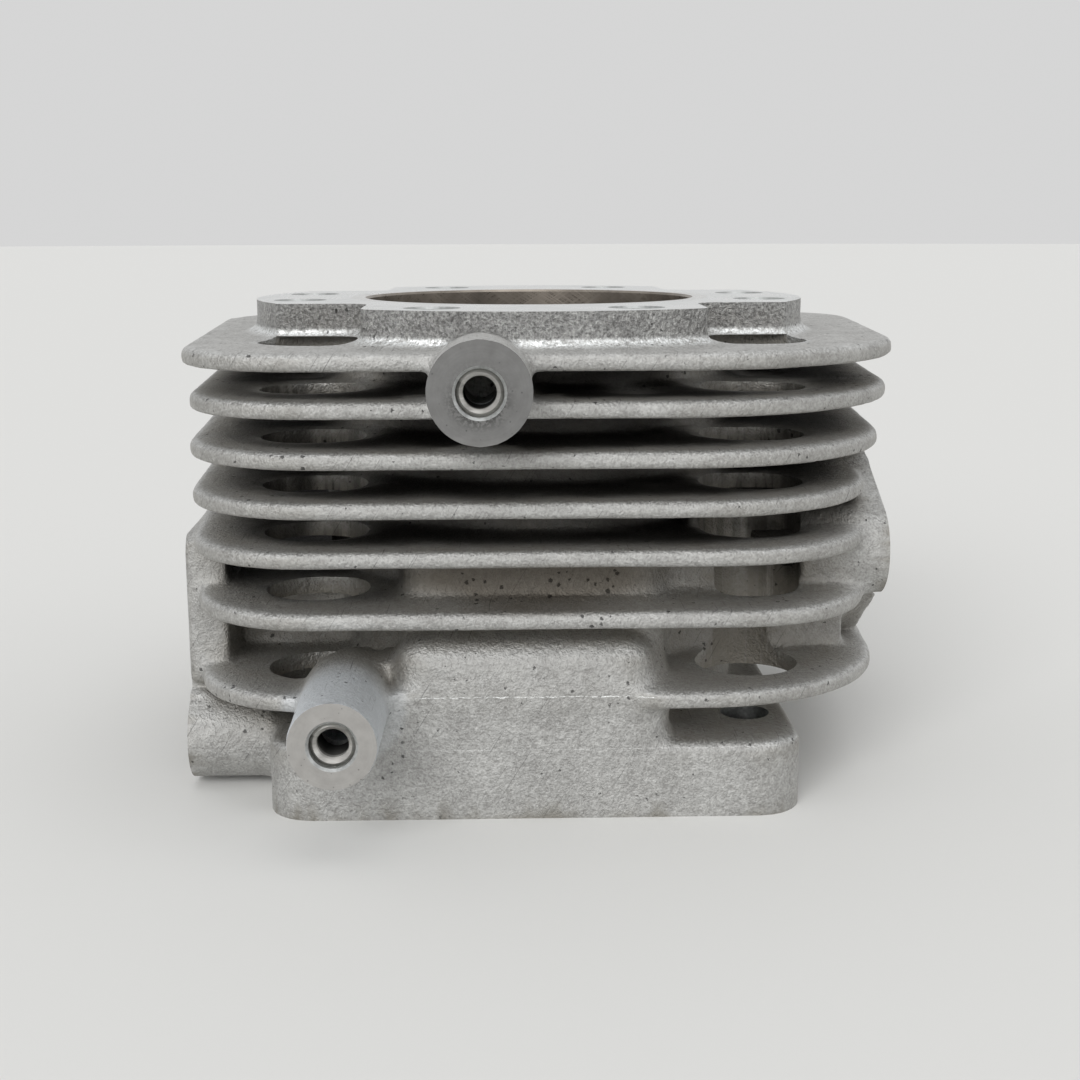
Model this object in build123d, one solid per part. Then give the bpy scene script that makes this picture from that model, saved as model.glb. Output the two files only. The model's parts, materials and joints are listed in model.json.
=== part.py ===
from build123d import *
import os

# Air-cooled two-stroke cylinder barrel, millimetres.
# Origin: bore axis on the crankcase gasket face. +Z runs up the bore to the head deck,
# +X points out of the exhaust port, -X out of the intake port, -Y to the side with the two cover bosses.

# Bore and liner
bore_diameter = 50.0
liner_wall = 2.6
barrel_wall = 3.9            # aluminium round the liner
barrel_height = 70.0         # gasket face to deck face

# Crankcase flange
flange_thickness = 10.6
flange_width = 75.0          # along X
flange_depth = 82.0          # along Y
flange_corner = 6.5
flange_edge_round = 1.5
flange_screw_spacing_x = 61.8
flange_screw_spacing_y = 53.4
flange_screw_hole = 7.1      # clears an M6 screw
access_diameter = 14.8       # driver passage above each flange screw

# Head deck
deck_spine_diameter = 87.0   # round front and back of the deck
deck_lobe_diameter = 83.6    # round sides of the deck
deck_rise = 5.0              # deck face above the top fin
deck_spine_width = 46.6      # part between the notches that runs front to back
deck_lobe_width = 43.0       # part between the notches that runs side to side
deck_corner = 3.2
deck_root_round = 1.2        # where the deck's wall meets the top fin
side_screw_x, side_screw_y = 34.3, 10.0
front_screw_x, front_screw_y = 13.8, 33.9
screw_relief_diameter = 8.4  # shallow pocket in the second fin under each head screw
screw_relief_depth = 0.4

# Cooling fins, from the top one down
fin_steps = [6.2, 6.7, 6.8, 6.8, 8.7, 11.5]              # top face to top face
deck_ledge = 4.5                                         # top fin beyond the deck, front and back
fin_setbacks = [0.0, 1.0, 1.7, 3.0, 4.0, 5.1, 5.6]       # front and back edges, behind the top fin's
exhaust_ledge = 12.2                                     # top fin beyond the deck's side, beside the bore
exhaust_setbacks = [0.0, 0.5, 1.8, 3.8, 4.2, 3.8, 1.2]
exhaust_corners = [34.0, 34.0, 30.0, 26.0, 21.0, 20.0, 28.0]  # front corners on that side
intake_ledge = 8.4
intake_setbacks = [0.0, 0.7, 0.2, 0.2, 0.2, 0.4, 0.5]
intake_corners = [18.0, 18.0, 20.0, 19.0, 17.0, 18.0, 17.0]
rear_corner = 18.0
exhaust_flare, intake_flare = 0.09, 0.07                 # sideways growth for each unit towards +Y
fin_thickness = 2.4
fin_root_round = 0.6         # where each fin leaves the barrel
fin_top_round = 1.0
fin_bottom_round = 0.6
cored_fins = [1, 2, 3, 4]    # these keep a rounded cast lip at each driver passage
cored_lip = 1.2

# Transfer ducts, one pair on the -Y side and one on the +Y side
bulge_width = 37.0
bulge_reach = 35.0           # upper part, along Y
bulge_top = 37.0
shoulder_low, shoulder_high = 17.6, 23.0
bulge_corner = 4.0
duct_width = 11.0
duct_spacing = 20.0          # between the two ducts of a pair
duct_wall = 2.6              # between duct and outside
duct_web = 1.8               # between duct and liner
transfer_low, transfer_high = 25.0, 34.0

# Exhaust side
exhaust_face = 50.8
exhaust_low, exhaust_high = 30.0, 43.0
exhaust_width = 26.0
exhaust_screw_y, exhaust_screw_z = 23.0, 34.4
exhaust_boss_radius = 6.6
exhaust_boss_inner = 22.0    # where the two long screw bosses start
exhaust_plate = 4.0
exhaust_plate_top = 49.5
exhaust_plate_top_width = 12.0
exhaust_foot_top = 27.0      # web from the flange down to the lowest fin
exhaust_foot_top_width = 41.0
exhaust_foot_width = 19.0

# Intake side
intake_face = 50.2
intake_low, intake_high = 12.0, 25.0
intake_width = 24.0
intake_screw_y, intake_screw_z = 23.0, 7.2
intake_boss_radius = 6.5
intake_plate = 3.0
intake_plate_width = 48.0
intake_plate_low, intake_plate_top = 13.0, 37.0

port_corner = 4.0
port_wall = 3.5
port_wall_corner = 4.0
flange_clearance = 1.5       # fins end flush with a port face this far round its flange

# Cover bosses on the -Y side
cover_boss_face = 58.0       # both faces lie in one plane
upper_boss_x, upper_boss_drop, upper_boss_radius = -7.2, 9.0, 6.25   # drop is below the deck face
lower_boss_x, lower_boss_z, lower_boss_radius = -26.3, 16.5, 5.85
cover_boss_root = 30.0
cover_boss_draft = 0.35      # growth in radius from face to root
boss_edge_round = 0.3

# Threads: wire inserts in plain drilled holes
m6_insert_outer, m6_insert_inner = 7.1, 5.0
m5_insert_outer, m5_insert_inner = 6.0, 4.2
head_insert_length, m6_insert_length, m5_insert_length = 6.0, 9.0, 7.5
insert_setback = 0.6         # below the face, so that it clears the chamfer
mouth_chamfer = 0.35         # wider than the insert, on the radius
drill_runout = 1.0           # hole deeper than the insert

# Worked out
bore_radius = bore_diameter / 2
liner_radius = bore_radius + liner_wall
barrel_radius = liner_radius + barrel_wall
fin_tops = [barrel_height - deck_rise - sum(fin_steps[:i]) for i in range(len(fin_steps) + 1)]
fin_fronts = [deck_spine_diameter / 2 + deck_ledge - setback for setback in fin_setbacks]
upper_boss_z = barrel_height - upper_boss_drop
flange_screws = [(x * flange_screw_spacing_x / 2, y * flange_screw_spacing_y / 2)
                 for x in (-1, 1) for y in (-1, 1)]
head_screws = [(x * a, y * b) for a, b in ((side_screw_x, side_screw_y), (front_screw_x, front_screw_y))
               for x in (-1, 1) for y in (-1, 1)]
over = 1.0                   # cutters run this far past the face they leave
up, front, right, left = (0, 0, 1), (0, -1, 0), (1, 0, 0), (-1, 0, 0)


def block(x0, x1, y0, y1, z0, z1):
    """A box between two corners."""
    size = (x1 - x0, y1 - y0, z1 - z0)
    return Pos((x0 + x1) / 2, (y0 + y1) / 2, (z0 + z1) / 2) * Box(*size)


def rod(axis, start, radius, length, end_radius=None):
    """A round bar from start along +X, -X, +Y, -Y, +Z or -Z; its radius may change along it."""
    plane = Plane(origin=start, z_dir=axis)
    if end_radius is None or end_radius == radius:
        bar = Cylinder(radius, length)
    else:
        bar = Cone(radius, end_radius, length)
    return plane * Pos(0, 0, length / 2) * bar


def fin_outline(index):
    """Plan of one fin: straight front and back, sides that flare towards the back, round corners."""
    reach = fin_fronts[index]
    exhaust = deck_lobe_diameter / 2 + exhaust_ledge - exhaust_setbacks[index]
    intake = deck_lobe_diameter / 2 + intake_ledge - intake_setbacks[index]
    exhaust_side = exhaust_flare * reach
    intake_side = intake_flare * reach
    corners = [(exhaust - exhaust_side, -reach), (exhaust + exhaust_side, reach),
               (-intake - intake_side, reach), (intake_side - intake, -reach)]
    radii = [exhaust_corners[index], rear_corner, rear_corner, intake_corners[index]]
    return make_face(FilletPolyline(*corners, radius=radii, close=True))


def make_fin(index):
    """One fin with its rounded rim; the cored ones get a rounded lip at each driver passage."""
    plate = extrude(fin_outline(index), fin_thickness)
    plate = fillet(plate.edges().group_by(Axis.Z)[-1], fin_top_round)
    plate = fillet(plate.edges().group_by(Axis.Z)[0], fin_bottom_round)
    if index in cored_fins:
        for x, y in flange_screws:
            plate -= rod((0, 0, 1), (x, y, -over), access_diameter / 2, fin_thickness + 2 * over)
        mouths = plate.edges().filter_by(GeomType.CIRCLE).filter_by(
            lambda edge: abs(edge.radius - access_diameter / 2) < 0.01).group_by(Axis.Z)[-1]
        plate = fillet(mouths, cored_lip)
    return Pos(0, 0, fin_tops[index] - fin_thickness) * plate


def make_deck():
    """Head deck with round ends, notched at its four corners for the driver passages."""
    spine = Circle(deck_spine_diameter / 2) & Rectangle(deck_spine_width, deck_spine_diameter)
    lobes = Circle(deck_lobe_diameter / 2) & Rectangle(deck_lobe_diameter, deck_lobe_width)
    outline = spine + lobes
    outline = fillet(outline.vertices(), deck_corner)
    low = fin_tops[0] - fin_thickness
    return Pos(0, 0, low) * extrude(outline, barrel_height - low)


def make_finned_barrel():
    """Barrel, fins and deck as one body, with round roots at every fin and round the deck's wall."""
    body = rod(up, (0, 0, 0), barrel_radius, fin_tops[0])
    for index in range(len(fin_tops)):
        body += make_fin(index)
    roots = body.edges().filter_by(GeomType.CIRCLE).filter_by(
        lambda edge: abs(edge.radius - barrel_radius) < 0.01 and edge.center().Z > 0.01)
    body = fillet(roots, fin_root_round)
    body += make_deck()
    walls = [face for face in body.faces()
             if face.bounding_box().max.Z > fin_tops[0] and abs(face.normal_at().Z) < 0.5]
    foot = [edge for wall in walls for edge in wall.edges().group_by(Axis.Z)[0]]
    return fillet(foot, deck_root_round)


def make_flange():
    """Crankcase flange with a square gasket edge and a rounded upper edge."""
    plate = extrude(RectangleRounded(flange_width, flange_depth, flange_corner), flange_thickness)
    return fillet(plate.edges().group_by(Axis.Z)[-1], flange_edge_round)


def make_bulge(side):
    """Outer wall of one pair of transfer ducts: side is -1 for the -Y pair, 1 for the +Y pair."""
    front = flange_depth / 2
    points = [(0, 0), (front, 0), (front, shoulder_low), (bulge_reach, shoulder_high),
              (bulge_reach, bulge_top), (0, bulge_top)]
    profile = make_face(Polyline(*[(side * y, z) for y, z in points], close=True))
    body = extrude(Plane.YZ * profile, bulge_width / 2, both=True)
    corners = [edge for edge in body.edges()
               if abs(abs(edge.center().X) - bulge_width / 2) < 0.01
               and abs(edge.center().Y) > bulge_reach - 0.01
               and edge.bounding_box().size.Z > 1]
    return fillet(corners, bulge_corner)


def transfer_ducts(side):
    """The two passages of one side, open at the gasket face and through the liner windows."""
    outer_low = flange_depth / 2 - duct_wall
    outer_high = bulge_reach - duct_wall
    inner = liner_radius + duct_web
    points = [(inner, -over), (outer_low, -over), (outer_low, shoulder_low - duct_wall),
              (outer_high, shoulder_high - duct_wall / 2), (outer_high, transfer_high),
              (bore_radius / 2, transfer_high), (bore_radius / 2, transfer_low), (inner, transfer_low)]
    profile = make_face(Polyline(*[(side * y, z) for y, z in points], close=True))
    passage = extrude(Plane.YZ * profile, duct_width / 2, both=True)
    return [Pos(x * duct_spacing / 2, 0, 0) * passage for x in (-1, 1)]


def port_tube(x0, x1, width, low, high, corner):
    """A straight duct of rounded rectangular section along X."""
    section = Plane.YZ * Pos(0, (low + high) / 2) * RectangleRounded(width, high - low, corner)
    return Pos(x0, 0, 0) * extrude(section, x1 - x0)


def make_exhaust():
    """Exhaust duct wall, tapered flange plate and two long screw bosses."""
    wall = port_tube(liner_radius, exhaust_face, exhaust_width + 2 * port_wall,
                     exhaust_low - port_wall, exhaust_high + port_wall, port_wall_corner)
    ears = [edge for y in (-exhaust_screw_y, exhaust_screw_y)
            for edge in (Pos(y, exhaust_screw_z) * Circle(exhaust_boss_radius)).edges()]
    half_top = exhaust_plate_top_width / 2
    outline = make_hull([Line((-half_top, exhaust_plate_top), (half_top, exhaust_plate_top)).edge(), *ears])
    half_low, half_high = exhaust_foot_width / 2, exhaust_foot_top_width / 2
    low = fin_tops[-1]
    outline += make_face(Polyline((-half_low, low), (half_low, low), (half_high, exhaust_foot_top),
                                  (half_high, exhaust_screw_z), (-half_high, exhaust_screw_z),
                                  (-half_high, exhaust_foot_top), close=True))
    plate = Pos(exhaust_face - exhaust_plate, 0, 0) * extrude(Plane.YZ * outline, exhaust_plate)
    body = wall + plate
    length = exhaust_face - exhaust_plate - exhaust_boss_inner
    for y in (-exhaust_screw_y, exhaust_screw_y):
        body += rod(right, (exhaust_boss_inner, y, exhaust_screw_z), exhaust_boss_radius, length)
    return body


def make_intake():
    """Intake duct wall, thin flange plate between the fins and two screw bosses beside the flange."""
    wall = port_tube(-intake_face, -liner_radius, intake_width + 2 * port_wall,
                     intake_low - port_wall, intake_high + port_wall, port_wall_corner)
    half = intake_plate_width / 2
    plate = block(-intake_face, -intake_face + intake_plate, -half, half, intake_plate_low, intake_plate_top)
    plate = fillet(plate.edges().filter_by(Axis.Z), intake_plate / 3)
    body = wall + plate
    root = flange_width / 2 - over
    for y in (-intake_screw_y, intake_screw_y):
        body += rod((1, 0, 0), (-intake_face, y, intake_screw_z), intake_boss_radius, intake_face - root)
        body += block(-intake_face, -intake_face + intake_plate, y - intake_plate, y + intake_plate,
                      intake_screw_z, intake_plate_low + over)
    return body


def port_pockets():
    """Room in front of each port face for the flange that bolts to it."""
    depth = exhaust_ledge + over
    half = exhaust_screw_y + exhaust_boss_radius + flange_clearance
    low = exhaust_screw_z - exhaust_boss_radius - flange_clearance
    exhaust = block(exhaust_face, exhaust_face + depth, -half, half, low, exhaust_plate_top)
    half = intake_screw_y + intake_boss_radius + flange_clearance
    low = intake_screw_z - intake_boss_radius - flange_clearance
    intake = block(-intake_face - depth, -intake_face, -half, half, low, fin_tops[4] + fin_root_round)
    return exhaust, intake


def cover_boss(x, z, radius):
    """Drafted boss that carries a screw for the engine cover."""
    boss = rod((0, 1, 0), (x, -cover_boss_face, z), radius, cover_boss_face - cover_boss_root,
               radius + cover_boss_draft)
    return fillet(boss.edges().group_by(Axis.Y)[0], boss_edge_round)


def screw_hole(axis, mouth, outer, length):
    """Drilled hole with a chamfered mouth for one thread insert."""
    into = tuple(-a for a in axis)
    hole = rod(into, mouth, outer / 2, insert_setback + length + drill_runout)
    wide = outer / 2 + mouth_chamfer
    return hole + rod(into, mouth, wide, mouth_chamfer, outer / 2)


def thread_insert(axis, mouth, outer, inner, length):
    """Wire thread insert as a sleeve, set just below the mouth."""
    into = tuple(-a for a in axis)
    start = tuple(m + insert_setback * i for m, i in zip(mouth, into))
    sleeve = rod(into, start, outer / 2, length) - rod(into, start, inner / 2, length)
    return sleeve


head_mouths = [(x, y, barrel_height) for x, y in head_screws]
exhaust_mouths = [(exhaust_face, y, exhaust_screw_z) for y in (-exhaust_screw_y, exhaust_screw_y)]
intake_mouths = [(-intake_face, y, intake_screw_z) for y in (-intake_screw_y, intake_screw_y)]
cover_mouths = [(upper_boss_x, -cover_boss_face, upper_boss_z),
                (lower_boss_x, -cover_boss_face, lower_boss_z)]
head_m6 = (m6_insert_outer, m6_insert_inner, head_insert_length)
m6 = (m6_insert_outer, m6_insert_inner, m6_insert_length)
m5 = (m5_insert_outer, m5_insert_inner, m5_insert_length)
thread_groups = {
    "head_thread_inserts": (up, head_mouths, head_m6),
    "exhaust_thread_inserts": (right, exhaust_mouths, m6),
    "intake_thread_inserts": (left, intake_mouths, m5),
    "cover_thread_inserts": (front, cover_mouths, m5),
}


def make_casting():
    """The whole aluminium casting with its machined faces, bores and holes."""
    body = make_finned_barrel() + make_flange()
    for side in (-1, 1):
        body += make_bulge(side)
    body += make_exhaust() + make_intake()
    body += cover_boss(upper_boss_x, upper_boss_z, upper_boss_radius)
    body += cover_boss(lower_boss_x, lower_boss_z, lower_boss_radius)
    body -= rod(up, (0, 0, -over), liner_radius, barrel_height + 2 * over)
    body -= port_tube(bore_radius, exhaust_face + over, exhaust_width, exhaust_low, exhaust_high, port_corner)
    body -= port_tube(-intake_face - over, -bore_radius, intake_width, intake_low, intake_high, port_corner)
    for side in (-1, 1):
        for duct in transfer_ducts(side):
            body -= duct
    for pocket in port_pockets():
        body -= pocket
    for x, y in flange_screws:
        body -= rod(up, (x, y, flange_thickness), access_diameter / 2, barrel_height)
        body -= rod(up, (x, y, -over), flange_screw_hole / 2, flange_thickness + 2 * over)
    for axis, mouths, (outer, inner, length) in thread_groups.values():
        for mouth in mouths:
            body -= screw_hole(axis, mouth, outer, length)
    for x, y in head_screws:
        body -= rod(up, (x, y, fin_tops[1] - screw_relief_depth), screw_relief_diameter / 2,
                    fin_steps[0] - fin_thickness)
    return body


def make_liner():
    """Iron liner, flush with deck and gasket face, with its exhaust, intake and transfer windows."""
    liner = rod(up, (0, 0, 0), liner_radius, barrel_height)
    liner -= rod(up, (0, 0, -over), bore_radius, barrel_height + 2 * over)
    middle = bore_radius / 2
    reach = liner_radius + over
    liner -= port_tube(middle, reach, exhaust_width, exhaust_low, exhaust_high, port_corner)
    liner -= port_tube(-reach, -middle, intake_width, intake_low, intake_high, port_corner)
    for side in (-1, 1):
        for duct in transfer_ducts(side):
            liner -= duct
    return liner


nodes = {"cylinder_casting": make_casting(), "cylinder_liner": make_liner()}
for name, (axis, mouths, (outer, inner, length)) in thread_groups.items():
    nodes[name] = Compound(children=[thread_insert(axis, mouth, outer, inner, length) for mouth in mouths])

os.makedirs("parts", exist_ok=True)
for name, shape in nodes.items():
    export_step(shape, f"parts/{name}.step")
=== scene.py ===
import json
import math
from functools import partial

import bpy
import numpy as np
from mathutils import Matrix, Vector
from mathutils.bvhtree import BVHTree


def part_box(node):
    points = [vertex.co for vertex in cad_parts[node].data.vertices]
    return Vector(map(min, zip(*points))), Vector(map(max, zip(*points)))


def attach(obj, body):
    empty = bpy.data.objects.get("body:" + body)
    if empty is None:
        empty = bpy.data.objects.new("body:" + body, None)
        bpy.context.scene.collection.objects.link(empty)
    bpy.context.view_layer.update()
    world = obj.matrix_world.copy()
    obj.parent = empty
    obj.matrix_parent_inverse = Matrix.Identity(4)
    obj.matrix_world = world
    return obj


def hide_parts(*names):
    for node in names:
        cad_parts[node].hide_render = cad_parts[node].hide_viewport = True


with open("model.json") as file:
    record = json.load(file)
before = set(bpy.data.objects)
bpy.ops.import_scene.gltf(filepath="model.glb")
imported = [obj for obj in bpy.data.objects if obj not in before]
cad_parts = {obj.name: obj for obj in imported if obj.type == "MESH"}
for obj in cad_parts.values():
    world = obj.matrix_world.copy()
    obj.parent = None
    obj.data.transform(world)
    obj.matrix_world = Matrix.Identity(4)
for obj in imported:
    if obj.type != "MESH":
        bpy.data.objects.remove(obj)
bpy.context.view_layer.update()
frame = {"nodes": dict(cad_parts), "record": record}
nodes = frame["nodes"]
mounts = {mount["name"]: mount for mount in frame["record"]["mounts"]}
mm = 0.001                      # the dictionaries below hold millimetres
print("frame loaded")


# tools
def selectNothing():
    if bpy.context.object and bpy.context.object.mode != "OBJECT":
        bpy.ops.object.mode_set(mode="OBJECT")
    bpy.ops.object.select_all(action="DESELECT")


def makeActive(piece):
    selectNothing()
    piece.select_set(True)
    bpy.context.view_layer.objects.active = piece
    return piece


def applyModifier(piece, kind, name, **settings):
    makeActive(piece)
    modifier = piece.modifiers.new(name, kind)
    for key, value in settings.items():
        setattr(modifier, key, value)
    bpy.ops.object.modifier_apply(modifier=name)


def joinInto(piece, others):
    makeActive(piece)
    for other in others:
        other.select_set(True)
    bpy.ops.object.join()
    return piece


def cutAway(piece, cutters, name):
    tool = joinInto(cutters[0], cutters[1:])
    applyModifier(piece, "BOOLEAN", name, operation="DIFFERENCE", solver="MANIFOLD", object=tool)
    bpy.data.objects.remove(tool)


def placeInMesh(piece):
    makeActive(piece)
    bpy.ops.object.transform_apply(location=True, rotation=True, scale=True)
    return piece


def copyOfNode(node, name):  # a copy of a CAD mesh, with its loose triangles merged
    piece = bpy.data.objects.new(name, node.data.copy())
    piece.data.materials.clear()
    bpy.context.collection.objects.link(piece)
    makeActive(piece)
    bpy.ops.object.mode_set(mode="EDIT")
    bpy.ops.mesh.select_all(action="SELECT")
    bpy.ops.mesh.remove_doubles(threshold=0.001 * mm)
    bpy.ops.object.mode_set(mode="OBJECT")
    return piece


def turnedRod(axis, start, steps, sides=64):  # steps are (distance along the axis, radius)
    selectNothing()
    place, radius = steps[0]
    bpy.ops.mesh.primitive_circle_add(vertices=sides, radius=radius * mm, fill_type="NGON",
                                      location=(0, 0, place * mm))
    rod = placeInMesh(bpy.context.object)
    bpy.ops.object.mode_set(mode="EDIT")
    bpy.ops.mesh.select_all(action="SELECT")
    for nextPlace, nextRadius in steps[1:]:
        rise = (0, 0, (nextPlace - place) * mm)
        bpy.ops.mesh.extrude_region_move(TRANSFORM_OT_translate={"value": rise})
        widen = nextRadius / radius
        bpy.ops.transform.resize(value=(widen, widen, 1), center_override=(0, 0, nextPlace * mm))
        place, radius = nextPlace, nextRadius
    bpy.ops.mesh.select_all(action="SELECT")
    bpy.ops.mesh.normals_make_consistent(inside=False)
    bpy.ops.object.mode_set(mode="OBJECT")
    rod.rotation_mode = "QUATERNION"
    rod.rotation_quaternion = Vector((0, 0, 1)).rotation_difference(Vector(axis))
    rod.location = Vector(start) * mm
    return placeInMesh(rod)


def slab(low, high):  # a box between two corners
    selectNothing()
    bpy.ops.mesh.primitive_cube_add(size=1, location=[(a + b) / 2 * mm for a, b in zip(low, high)])
    bpy.context.object.scale = [(b - a) * mm for a, b in zip(low, high)]
    return placeInMesh(bpy.context.object)


def giveMaterials(piece, *materials):
    piece.data.materials.clear()
    for material in materials:
        piece.data.materials.append(material)


def vertexPlaces(mesh):
    places = np.empty(len(mesh.vertices) * 3)
    mesh.vertices.foreach_get("co", places)
    return places.reshape(-1, 3)


def facePlaces(mesh):
    centres, normals = np.empty(len(mesh.polygons) * 3), np.empty(len(mesh.polygons) * 3)
    mesh.polygons.foreach_get("center", centres)
    mesh.polygons.foreach_get("normal", normals)
    return centres.reshape(-1, 3) / mm, normals.reshape(-1, 3)


def screwPlaces(name):  # the axis of a mount and the place of each of its holes
    mount = mounts[name]
    axis, centre = Vector(mount["axis"]), Vector(mount["pos_m"]) / mm
    across = mount["dims"].get("spacing_x_mm", 0) / 2
    along = mount["dims"].get("spacing_y_mm", 0) / 2
    if abs(axis.z) > 0.5:
        offsets = [(x * across, y * along, 0) for x in (-1, 1) for y in (-1, 1)]
    else:
        offsets = [(0, y * across, 0) for y in ((-1, 1) if across else (0,))]
    return axis, [centre + Vector(offset) for offset in offsets]


def linear(code):
    values = [int(code[i:i + 2], 16) / 255 for i in (0, 2, 4)]
    return tuple(v / 12.92 if v <= 0.04045 else ((v + 0.055) / 1.055) ** 2.4 for v in values) + (1.0,)


def addNode(material, kind, links=None, **settings):  # links hold sockets, nodes' first outputs, or values
    node = material.node_tree.nodes.new("ShaderNode" + kind)
    for key, value in settings.items():
        if hasattr(node, key):
            setattr(node, key, value)
        else:
            node.inputs[key.replace("_", " ")].default_value = value
    for socket, source in (links or {}).items():
        if isinstance(source, bpy.types.Node):
            source = source.outputs[0]
        if isinstance(source, bpy.types.NodeSocket):
            material.node_tree.links.new(source, node.inputs[socket])
        else:
            node.inputs[socket].default_value = source
    return node


def newMaterial(name, **settings):  # with what adds nodes to it, and its object coordinates
    material = bpy.data.materials.new(name)
    material.use_nodes = True
    shader = material.node_tree.nodes["Principled BSDF"]
    for key, value in settings.items():
        shader.inputs[key.replace("_", " ")].default_value = value
    add = partial(addNode, material)
    return material, add, add("TexCoord").outputs["Object"]


def feedShader(material, **sources):
    shader = material.node_tree.nodes["Principled BSDF"]
    for socket, source in sources.items():
        material.node_tree.links.new(source.outputs[0], shader.inputs[socket.replace("_", " ")])
    return material


print("tools ready")


# places taken from the frame
lowest, highest = [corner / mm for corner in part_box("cylinder_casting")]
deckTop = highest.z
coverFace = lowest.y
exhaustFace = mounts["exhaust_face"]["pos_m"][0] / mm
intakeFace = mounts["intake_face"]["pos_m"][0] / mm
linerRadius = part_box("cylinder_liner")[1].x / mm
flangeScrews = screwPlaces("crankcase_screws")[1]
flangeHole = mounts["crankcase_screws"]["dims"]["hole_r_mm"]
faceAlong = {(0, 0, 1): deckTop, (1, 0, 0): exhaustFace, (-1, 0, 0): -intakeFace, (0, -1, 0): -coverFace}
farOff = 200.0
headScrews = ("head_screws_front", "head_screws_side")
portScrews = ("exhaust_screws", "intake_screws")
coverScrews = ("upper_cover_screw", "lower_cover_screw")


def screwMouths(name):  # where the holes of a mount meet their machined face
    axis, places = screwPlaces(name)
    face = faceAlong[tuple(round(part) for part in axis)]
    return axis, [place + axis * (face - place.dot(axis)) for place in places]


# camera
camera = {
    "place": (-5.1, -248.0, 81.2),
    "pitch": 11.39,             # degrees down
    "yaw": 1.55,                # degrees to the right
    "roll": -0.14,
    "lens": 52.49,              # on a sensor 36 wide
}

bpy.ops.object.camera_add()
cameraObject = bpy.context.object
cameraObject.data.lens = camera["lens"]
cameraObject.data.clip_start = 10 * mm
turn = Matrix.Rotation(math.radians(-camera["yaw"]), 4, "Z")
turn @= Matrix.Rotation(math.radians(90 - camera["pitch"]), 4, "X")
turn @= Matrix.Rotation(math.radians(camera["roll"]), 4, "Z")
cameraObject.matrix_world = Matrix.Translation(Vector(camera["place"]) * mm) @ turn
bpy.context.scene.camera = cameraObject
bpy.context.scene.view_settings.view_transform = "Standard"
print("camera placed")


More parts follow.
